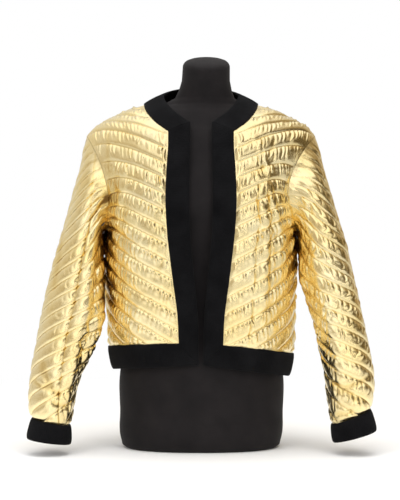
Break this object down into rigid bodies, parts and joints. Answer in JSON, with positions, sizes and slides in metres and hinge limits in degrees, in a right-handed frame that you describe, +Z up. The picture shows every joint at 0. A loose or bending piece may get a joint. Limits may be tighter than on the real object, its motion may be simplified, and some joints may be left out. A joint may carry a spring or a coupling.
{
  "type": "quilted leather jacket on dress form",
  "caption": "Short collarless jacket in metallic quilted leather with rib-knit bands at neck, fronts, hem and cuffs, worn open on a limbless dress form.",
  "frame": {"origin": "middle of the dress form's flat base, on the floor", "axes": "+Z up, -Y the jacket's front, +X the wearer's left"},
  "size_m": [0.7016, 0.2853, 0.8119],
  "materials": {
    "gold_leather": "metallic gold foil, crinkled",
    "rib_knit": "matt black rib knit",
    "jersey": "matt black jersey"
  },
  "bodies": {
    "root": {"front_right": "gold_leather", "front_left": "gold_leather", "back": "gold_leather", "sleeve_right": "gold_leather", "sleeve_left": "gold_leather", "neck_band": "rib_knit", "front_band_right": "rib_knit", "front_band_left": "rib_knit", "hem_corner_right": "rib_knit", "hem_corner_left": "rib_knit", "hem_band": "rib_knit", "cuff_right": "rib_knit", "cuff_left": "rib_knit", "dress_form": "jersey"}
  },
  "joints": []
}
